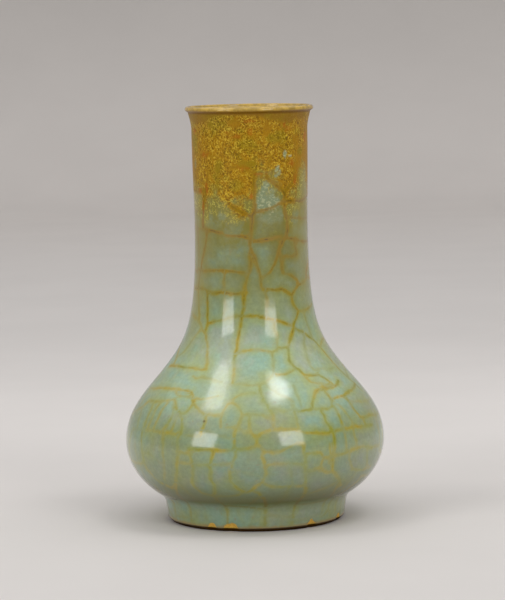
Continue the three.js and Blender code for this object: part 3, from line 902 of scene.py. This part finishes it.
def stained_cracks(mix, glaze, tone, gap, strength):
    """The stain of the cracks over a colour: ochre and green on the belly, browner and finer up the neck."""
    up = mix.height
    browner = up.ramp(95, 165)
    stain = mix.blend(mix.grain(42, 3, 0.6, 17).ramp(0.4, 0.6), glaze.ochre_stain, glaze.green_stain)
    stain = mix.blend(browner, stain, glaze.brown_stain)
    blur = mix.grain(170, 2, 0.5, 2).ramp(0.3, 0.7, 1.3, 2.4)
    soft = gap.ramp(0.1, blur, 1.35, 0) * strength * browner.ramp(0, 1, 1, 1.45)
    soft = (soft * mix.grain(310, 3, 0.7, 6).ramp(0.3, 0.65, 0.6, 1)).capped()
    on_foot = up.ramp(17, 32, 1, 0)
    foot_stain = mix.blend(up.ramp(12, 17, 0.3, 1), glaze.cloud, glaze.crack_core)
    stain = mix.blend(on_foot * 0.85, stain, foot_stain)
    soft = (soft * ((up.ramp(10, 18, 1.05, 1.5) - 1) * on_foot + 1)).capped()
    tone = mix.blend(soft, tone, stain)
    core = gap.ramp(0.05, 0.7, 1, 0) * (strength * strength)
    core = core * (mix.grain(330, 2, 0.6, 4).ramp(0.42, 0.66) * 0.75 + 0.15)
    core = (core * up.ramp(90, 170, 0.36, 1.5)).capped() * up.ramp(12, 24, 0.2, 1)
    return mix.blend(core, tone, glaze.crack_core), soft, core


def curled_strokes(mix):
    """The fine curled strokes of the golden glaze, and the gaps between them."""
    wavy = mix.warped(260, 0.0007)
    curl = mix.math("ABSOLUTE", mix.grain(600, 1, place=wavy) - 0.5)
    crazing = mix.math("ABSOLUTE", mix.grain(330, 2.5, 0.6, 9, wavy) - 0.5).ramp(0, 0.032, 0.85, 0)
    broken = mix.grain(420, 2, 0.6, 11).ramp(0.38, 0.56, 0.25, 1)
    stroke = curl.ramp(0.012, 0.075, 1, 0) * broken * crazing.left()
    return stroke, curl.ramp(0.11, 0.21, 0, 0.7).most(crazing)


def golden_glaze(mix, glaze, stroke, gap_between):
    """Colour of the upper neck: curled pale strokes on gold, with mossy and calm places."""
    calm = (mix.read("calm") + mix.sway(1.6, 130, 3)).ramp(0.35, 0.95, 1, 0.12)
    flecky = mix.grain(85, 4, 0.65).ramp(0.31, 0.56, 0.42, 1) * calm
    mossy = (mix.read("mossy") + mix.sway(1.8, 110, 3, 0.6, 3.5)).ramp(0.4, 1.2, 0, 0.8)
    olive = mix.grain(70, 3, 0.6, 7).ramp(0.5, 0.66, 0, 0.8).most(mossy)
    tone = mix.blend(olive, glaze.gold, glaze.gold_olive)
    tone = mix.blend(gap_between * flecky.ramp(0, 1, 0.2, 0.95), tone, glaze.gold_dark)
    return mix.blend(stroke * flecky * 0.9, tone, glaze.gold_pale)


def outer_glaze_material(glaze, clay, vase):
    mix = Mixture("celadon_glaze")
    up = mix.height
    way, plain = mix.length(mix.read("crack_way", "Vector")), mix.read("crack_gap")
    gap = way + (plain - way) * plain.ramp(0.8, 1.7)
    strength, above = mix.read("crack_strength"), mix.read("gold_above")
    tone = clear_glaze(mix, glaze, gap, strength)
    near_gold = above.ramp(-36, -5, 0, 0.9) * mix.grain(105, 4, 0.65).ramp(0.4, 0.58, 0.12, 1)
    tone = mix.blend(near_gold.most(above.ramp(-13, -2, 0, 0.92)), tone, glaze.neck_olive)
    # Painted light: ochre tinge on the neck's sides for the glaze's look at grazing angles
    painted_side_tinge = (mix.read("painted_side_tinge") + mix.sway(1.2, 45, 4, 0.65, 9.5)).ramp(0.1, 1, 0, 0.5)
    tone = mix.blend(painted_side_tinge, tone, glaze.grazing_light_tinge)

    # Thick glaze in the crease above the foot, darkened as painted shade there, then the cracks
    tone = mix.blend(up.ramp(13.8, 18.4) * up.ramp(17.5, 33, 1, 0) * 0.95, tone, glaze.pooled_and_crease_shade)
    tone, soft, core = stained_cracks(mix, glaze, tone, gap, strength)

    # Golden glaze, which reaches down furthest along the cracks, with loose flecks under it
    stroke, gap_between = curled_strokes(mix)
    golden = golden_glaze(mix, glaze, stroke, gap_between)
    reach = gap.ramp(0, 3, 9, 0) * strength
    gold = (above + mix.sway(40, 120, 4, 0.7, 1) + reach).ramp(-5, 9)
    tone = mix.blend(gold, tone, mix.blend(soft * 0.75, golden, glaze.gold))
    in_gold = gold * above.ramp(4, 18, 0.75, 0.2)
    tone = mix.blend(soft * in_gold, tone, glaze.brown_stain)
    tone = mix.blend(core * in_gold, tone, glaze.crack_core)
    loose = (above + mix.sway(60, 95, 3, 0.6, 2.5)).ramp(-16, -2, 0, 0.95) * gold.left() * soft.left()
    tone = mix.blend(loose * stroke, tone, glaze.loose_fleck)

    # Rusty, bluish and icy places
    rusty = (mix.read("rusty") + mix.sway(2.6, 300, 4, 0.7, 5.5)).ramp(0.25, 1.25, 0, 0.9)
    rusty = rusty * stroke.ramp(0, 1, 1, 0.35) * (core * 0.75).left()
    tone = mix.blend(rusty, tone, glaze.rust)
    speck = mix.grain(520, 2, 0.6, 3, stretch=1.6).ramp(0.48, 0.6)
    off_crack = (soft * 0.9).left()
    bluish = (mix.read("bluish") + mix.sway(1.8, 170, 4, 0.7)).ramp(0.45, 1.2, 0, 0.62) * off_crack
    tone = mix.blend(bluish, tone, mix.blend(speck * 0.28, glaze.blue_grey, glaze.ice))
    icy = (mix.read("icy") + mix.sway(1.7, 260, 4, 0.75, 1.5)).ramp(0.42, 1.05, 0, 0.95) * off_crack
    whiter = up.ramp(198, 201)
    speck = speck.most(whiter * 0.25) * whiter.most(up.ramp(181, 188, 0.9, 0.45))
    tone = mix.blend(icy, tone, mix.blend(speck, glaze.blue_grey, glaze.ice))

    # Thin glaze over the lip, a brown line under it and an unflecked olive-brown band, both partly painted
    # shade under the lip
    below = up - vase.top_height / MM
    mouth = mix.read("mouth")
    outside = mouth.left()
    # Unflecked band under the lip, partly painted shade under the flare
    band = (below + mix.sway(17, 50, 3, 0.6)).ramp(-7, -4.6, 0, 0.85) * outside
    olive = mix.grain(70, 3, 0.6, 4).ramp(0.42, 0.62, 0, 0.6)
    tone = mix.blend(band, tone, mix.blend(olive, glaze.under_lip, glaze.gold_olive))
    # Brown line under the lip's edge: brown glaze and painted shade
    tone = mix.blend(below.ramp(-4.4, -3.4, 0, 0.85) * outside, tone, glaze.lip_line_and_shade)
    rim = below.ramp(-2.7, -1.9).most(mouth)
    worn = mix.blend(mix.grain(260, 3, 0.7).ramp(0.38, 0.62), glaze.lip, glaze.lip * 0.66)
    # The lip's lower part painted browner: brown glaze and painted shade where it faces down
    lower_lip_brown_and_shade = below.ramp(-2.6, -1.1, 0.8, 0) * outside * rim
    tone = mix.blend(rim, tone, mix.blend(lower_lip_brown_and_shade, worn, glaze.under_lip))

    # A pinhole with a brown edge, darkest in its middle, partly painted shade in the pit
    hole = mix.length(mix.vector("SUBTRACT", mix.place, PINHOLE)).ramp(0.3 * MM, 1.1 * MM, 1, 0)
    tone = mix.blend(hole * 0.65, tone, glaze.crack_core)

    # Bare and burnt clay at the glaze edge and in the chips, and a dark band at the glaze edge that is
    # partly painted shade
    bare = (mix.read("chip") + mix.sway(0.12, 600, 3)).ramp(0.36, 0.48)
    crumb = mix.grain(1400, 3, 0.7).ramp(0.3, 0.7)
    burnt = (up + mix.sway(3.4, 110, 4, 0.7)).ramp(1.9, 4.2, 0.85, 0)
    tone = mix.blend(burnt, tone, clay.burnt)
    tone = mix.blend(bare, tone, mix.blend(crumb, clay.chip, clay.chip * 0.7))
    # Dark band at the lowest glaze: burnt thin glaze, and painted shade for the contact shadow at the foot
    tone = mix.blend(up.ramp(1.95, 2.45, 1, 0), tone, clay.foot)

    roughness = (mix.grain(180) * 0.08 + glaze.glow) * bare.left() + bare * 0.8
    relief = [
        (mix.grain(170), 0.00006), (stroke * gold, 0.00007), (crumb * bare, 0.00012), (hole, -0.0004),
    ]
    crazed = gold * below.ramp(-2.9, -1.8, 0.88, 0)
    clear = bare.left() * crazed.left() * (lower_lip_brown_and_shade * 0.9).left()
    coat = [("Coat Weight", clear), ("Coat Roughness", glaze.roughness), ("Coat IOR", 1.65)]
    return mix.finish(tone, roughness, relief, 0.1, coat)


def inner_glaze_material(glaze, vase):
    """Glaze of the inside and of the recess: olive, with its own crackle, golden near the lip."""
    mix = Mixture("inside_glaze")
    edge = mix.cells(75, "DISTANCE_TO_EDGE", mix.warped(45, 0.006))
    tone = mix.blend(mix.grain(30, 3).ramp(0.35, 0.65), glaze.grey_green, glaze.cloud)
    tone = mix.blend(edge.ramp(0.02, 0.14, 0.7, 0), tone, glaze.ochre_stain)
    tone = mix.blend(edge.ramp(0, 0.035, 0.7, 0), tone, glaze.crack_core)
    gold = (mix.height - vase.top_height / MM + mix.sway(40, 90, 3)).ramp(-40, -28)
    tone = mix.blend(gold, tone, golden_glaze(mix, glaze, *curled_strokes(mix)))
    return mix.finish(tone, mix.grain(180) * 0.06 + glaze.roughness, [(mix.grain(210), 0.0001)])


def clay_material(name, base, speck, grit, level=0.35):
    """Fired clay: base colour with darker specks and a gritty surface."""
    mix = Mixture(name)
    tone = mix.blend(mix.grain(60, 4, 0.6).ramp(0.3, 0.7), base, base * 0.72)
    dots = mix.cells(900, "F1", mix.place).ramp(0.12, 0.22, 1, 0)
    tone = mix.blend(dots * mix.grain(500, 1, offset=6).ramp(0.5, 0.6), tone, speck)
    sand = mix.grain(1800, 3, 0.7)
    return mix.finish(tone, sand.ramp(0.2, 0.8, 0.72, 0.9), [(sand, grit)], level)


def paper_material(floor):
    """Paper for floor and backdrop, with painted light and shade: brighter on the floor behind the vase,
    darker higher up, and nearly black away from what lies behind the vase.
    """
    mix = Mixture("studio_paper")
    near, up, deep = np.array(floor), mix.height, mix.along("Y")
    # Painted light: brighter on the floor behind the vase; painted shade: darker higher up the backdrop
    tone = mix.blend(deep.ramp(-350, 500), near, np.minimum(near * 1.11, 0.93))
    tone = mix.blend(deep.ramp(350, 1000), tone, near * 0.985)
    tone = mix.blend(deep.ramp(1400, 2500), tone, near * (1.005, 0.998, 0.99))
    tone = mix.blend(up.ramp(0, 400), tone, near * (0.8, 0.795, 0.785))
    # Painted shade: nearly black away from behind the vase, for the dark room round the studio
    far = mix.length(mix.place).ramp(1.2, 3.3, 0, 0.8) * deep.ramp(200, 1400).left()
    far = far * up.ramp(20, 800, 0.2, 1) * up.ramp(800, 2200, 1, 0.2)
    tone = mix.blend(far, tone, (0.08, 0.08, 0.08))
    tone = mix.shaded(tone, mix.grain(7, 3).ramp(0.3, 0.7, 0.985, 1.01))
    return mix.finish(tone, 0.75, [(mix.grain(900), 0.00003)], 0.2)


def paint(piece, material):
    piece.data.materials.clear()
    piece.data.materials.append(material)


def dress(piece, material, node):
    """Paints a piece and sets it in the place of a node of the frame."""
    paint(piece, material)
    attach(piece, "root")
    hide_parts(node)


# One operator for each piece or group of like pieces, and one for the stage


class VASE_OT_outer_glaze(bpy.types.Operator):
    """Make the crackled coat from the foot up over the lip"""

    bl_idname = "vase.outer_glaze"
    bl_label = "Outer Glaze"

    def execute(self, context):
        scene = context.scene
        vase = scene.vase_outline
        outline = outer_outline(vase)
        face = outline + over_lip(vase) + in_metres(MOUTH_EDGE)
        back = []
        for index in reversed(range(len(face))):
            run = face[min(index + 1, len(face) - 1)] - face[max(index - 1, 0)]
            # Between its ends the hidden side needs only every fourth point
            if run.length < 1e-9 or (index % 4 and 12 < index < len(outline) - 17):
                continue
            out = Vector((run.y, -run.x)).normalized()
            deep = vase.coat * (1 if index < len(outline) else 0.5)
            back.append(face[index] - out * deep)

        def shape(points):
            return chipped(thrown(points, vase.thrown_ripple))

        piece = turned("glaze_coat", face + back, COAT_COLUMNS, shape=shape)
        points = mesh_points(piece.data)
        net = crackle_net(outline, scene.crackle_net)
        marks = {name: place_mark(points, places) for name, places in PLACES.items()}
        marks["crack_way"], marks["crack_gap"], marks["crack_strength"] = crack_marks(points, net)
        marks["gold_above"] = above_gold_line(points)
        marks["chip"] = chip_dent(points)[1]
        # The mouth starts past the middle of the points over the lip
        rows = np.arange(len(points)) // COAT_COLUMNS
        marks["mouth"] = (rows > len(outline) + 5) & (rows < len(face))
        for name, values in marks.items():
            mark(piece.data, name, values)
        glaze = outer_glaze_material(scene.celadon_glaze, scene.vase_clay, vase)
        dress(piece, glaze, "outer_glaze")
        return {"FINISHED"}


class VASE_OT_inside_glaze(bpy.types.Operator):
    """Make the coat of the inside and the coat in the foot's recess"""

    bl_idname = "vase.inside_glaze"
    bl_label = "Inside Glaze"

    def execute(self, context):
        scene = context.scene
        material = inner_glaze_material(scene.celadon_glaze, scene.vase_outline)
        for node in ("inner_glaze", "base_glaze"):
            piece = rounded_copy(node, node.replace("glaze", "coat"))
            dress(piece, material, node)
        return {"FINISHED"}


def rounded_copy(node, name):
    """A round mesh with the same profile as a round node of the frame."""
    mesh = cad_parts[node].data
    ring_of = [(round(math.hypot(*v.co.xy), 6), round(v.co.z, 6)) for v in mesh.vertices]
    beside = {ring: Counter() for ring in ring_of}
    for edge in mesh.edges:
        a, b = ring_of[edge.vertices[0]], ring_of[edge.vertices[1]]
        if a != b:
            beside[a][b] += 1
            beside[b][a] += 1
    ends = sorted(ring for ring in beside if ring[0] < 1e-5)
    chain = [ends[0]]
    while chain[-1] != ends[-1]:
        onward = {ring: count for ring, count in beside[chain[-1]].items() if ring not in chain[-2:]}
        chain.append(max(onward, key=onward.get))
    return turned(name, chain, INSIDE_COLUMNS)


class VASE_OT_foot(bpy.types.Operator):
    """Make the foot ring, whose rim is bare clay"""

    bl_idname = "vase.foot"
    bl_label = "Foot Ring"

    def execute(self, context):
        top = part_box("foot_ring")[1].z / MM
        profile = FOOT_OUTSIDE + [(radius, top) for radius in FOOT_TOP_RADII] + FOOT_INSIDE
        piece = turned("foot_rim", in_metres(profile), FOOT_COLUMNS, shape=chipped)
        clay = context.scene.vase_clay
        material = clay_material("foot_clay", clay.foot, clay.foot_speck, 0.00012, 0.05)
        dress(piece, material, "foot_ring")
        return {"FINISHED"}


class VASE_OT_clay(bpy.types.Operator):
    """Give the clay pieces and the slip joints of the frame their finish"""

    bl_idname = "vase.clay"
    bl_label = "Clay and Slip"

    def execute(self, context):
        clay = context.scene.vase_clay
        body = clay_material("body_clay", clay.body, clay.body_speck, 0.0001)
        slip = clay_material("slip_clay", clay.slip, clay.slip_speck, 0.00004)
        for node in ("lower_belly", "upper_belly", "neck", "lip_rim"):
            paint(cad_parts[node], body)
        for node in ("foot_slip", "belly_slip", "neck_slip", "lip_slip"):
            paint(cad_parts[node], slip)
        return {"FINISHED"}


# Soft lights: power, share of it, degrees rightwards from the camera and up, distance, width, height, lean

LIGHTS = {
    "low_left": ("left_power", 1, -47, 18, 2.7, 1, 1.02, None),
    "low_right": ("right_power", 0.8, 33.5, 20.8, 2.7, 1, 1.06, None),
    "low_right_edge": ("right_power", 0.2, 33.5, 20, 2.7, 0.94, 1.12, None),
    "right_fill": ("fill_power", 1, 75, 32, 2.7, 1.4, 1.4, None),
    "high_left_core": ("high_left_power", 0.43, -70, 60.8, 2.6, 0.7, 0.56, 0),
    "high_left_edge": ("high_left_power", 0.46, -64, 59.5, 2.6, 1.06, 0.82, 0),
    "high_left_glow": ("high_left_power", 0.3, -64, 57.5, 2.6, 1.3, 1.3, 0),
    "high_right_core": ("high_right_power", 0.265, 55, 67.6, 2.6, 0.66, 0.33, -14),
    "high_right_edge": ("high_right_power", 0.29, 55, 67.4, 2.6, 0.98, 0.42, -14),
    "high_right_fill": ("high_right_power", 0.44, 56, 64, 2.6, 1.2, 1.2, None),
}


# What the lights face, and the camera

LIGHTS_AIM = (0, 0, 0.09)
CAMERA_PLACE = (0, -1.603, 0.29)
CAMERA_PITCH = math.radians(5.8)
CAMERA_ROLL = math.radians(-1.069)
LENS = 166.48


def soft_light(name, watts, turn, lift, distance, wide, tall, lean):
    """A flat light that faces the vase. The fills are left out of its reflections."""
    data = bpy.data.lights.new(name, "AREA")
    data.shape = "RECTANGLE" if lean is None else "ELLIPSE"
    data.size = wide
    data.size_y = tall
    data.energy = watts
    light = bpy.data.objects.new(name, data)
    light.visible_glossy = not name.endswith("fill")
    a, e = math.radians(turn), math.radians(lift)
    away = Vector((math.sin(a) * math.cos(e), -math.cos(a) * math.cos(e), math.sin(e)))
    light.location = Vector(LIGHTS_AIM) + away * distance
    light.rotation_mode = "QUATERNION"
    leaning = Quaternion((0, 0, 1), math.radians(lean or 0))
    light.rotation_quaternion = away.to_track_quat("Z", "Y") @ leaning
    bpy.context.scene.collection.objects.link(light)


def sweep_profile(reach=2.6, cove=0.8, tall=2.2):
    """Radius and height of the floor outside its middle, of the curve behind it and of the backdrop."""
    rows = [(reach * (step / 24) ** 1.5, 0) for step in range(1, 25)]
    for step in range(1, 13):
        turn = UPRIGHT * step / 12
        rows.append((reach + cove * math.sin(turn), cove * (1 - math.cos(turn))))
    return rows + [(reach + cove, tall)]


class VASE_OT_studio(bpy.types.Operator):
    """Make the floor, the backdrop, the lights and the camera"""

    bl_idname = "vase.studio"
    bl_label = "Studio"

    def execute(self, context):
        scene = context.scene
        studio = scene.vase_studio
        sweep = turned("studio_sweep", sweep_profile(), STUDIO_COLUMNS, closed=False)
        rim = mesh_points(sweep.data)[:STUDIO_COLUMNS].tolist()
        floor = meshed("studio_floor", rim, [range(STUDIO_COLUMNS)])
        paper = paper_material(studio.floor)
        for part in (sweep, floor):
            paint(part, paper)

        scene.world = bpy.data.worlds.new("studio_air")
        scene.world.use_nodes = True
        sky = scene.world.node_tree.nodes["Background"].inputs
        sky["Color"].default_value = (0.985, 0.985, 1, 1)
        sky["Strength"].default_value = studio.air
        for name, (power_name, part, *where) in LIGHTS.items():
            soft_light(name, getattr(studio, power_name) * part, *where)

        data = bpy.data.cameras.new("camera")
        data.sensor_width = 36
        data.lens = LENS
        data.clip_end = 20
        camera = bpy.data.objects.new("camera", data)
        turn = Matrix.Rotation(UPRIGHT - CAMERA_PITCH, 4, "X") @ Matrix.Rotation(CAMERA_ROLL, 4, "Z")
        camera.matrix_world = Matrix.Translation(CAMERA_PLACE) @ turn
        scene.collection.objects.link(camera)
        scene.camera = camera
        scene.view_settings.view_transform = "Standard"
        return {"FINISHED"}


OPERATORS = (
    VASE_OT_studio, VASE_OT_outer_glaze, VASE_OT_inside_glaze, VASE_OT_foot, VASE_OT_clay,
)
SETTINGS = {
    "vase_outline": VaseOutline,
    "celadon_glaze": CeladonGlaze,
    "crackle_net": CrackleNet,
    "vase_clay": Clay,
    "vase_studio": Studio,
}


class VIEW3D_PT_vase(bpy.types.Panel):
    """The vase's pieces, sizes and colours"""

    bl_label = "Long-Neck Vase"
    bl_idname = "VIEW3D_PT_vase"
    bl_space_type = "VIEW_3D"
    bl_region_type = "UI"
    bl_category = "Vase"

    def draw(self, context):
        for operator in OPERATORS:
            self.layout.operator(operator.bl_idname)
        for name in SETTINGS:
            box = self.layout.box()
            group = getattr(context.scene, name)
            for key in group.bl_rna.properties.keys():
                if key not in ("rna_type", "name"):
                    box.prop(group, key)


CLASSES = (*SETTINGS.values(), *OPERATORS, VIEW3D_PT_vase)


def register():
    for kind in CLASSES:
        bpy.utils.register_class(kind)
    for name, group in SETTINGS.items():
        setattr(bpy.types.Scene, name, PointerProperty(type=group))


def unregister():
    for name in SETTINGS:
        delattr(bpy.types.Scene, name)
    for kind in reversed(CLASSES):
        bpy.utils.unregister_class(kind)


def main():
    register()
    bpy.ops.vase.studio()
    bpy.ops.vase.outer_glaze()
    bpy.ops.vase.inside_glaze()
    bpy.ops.vase.foot()
    bpy.ops.vase.clay()


if __name__ == "__main__":
    main()
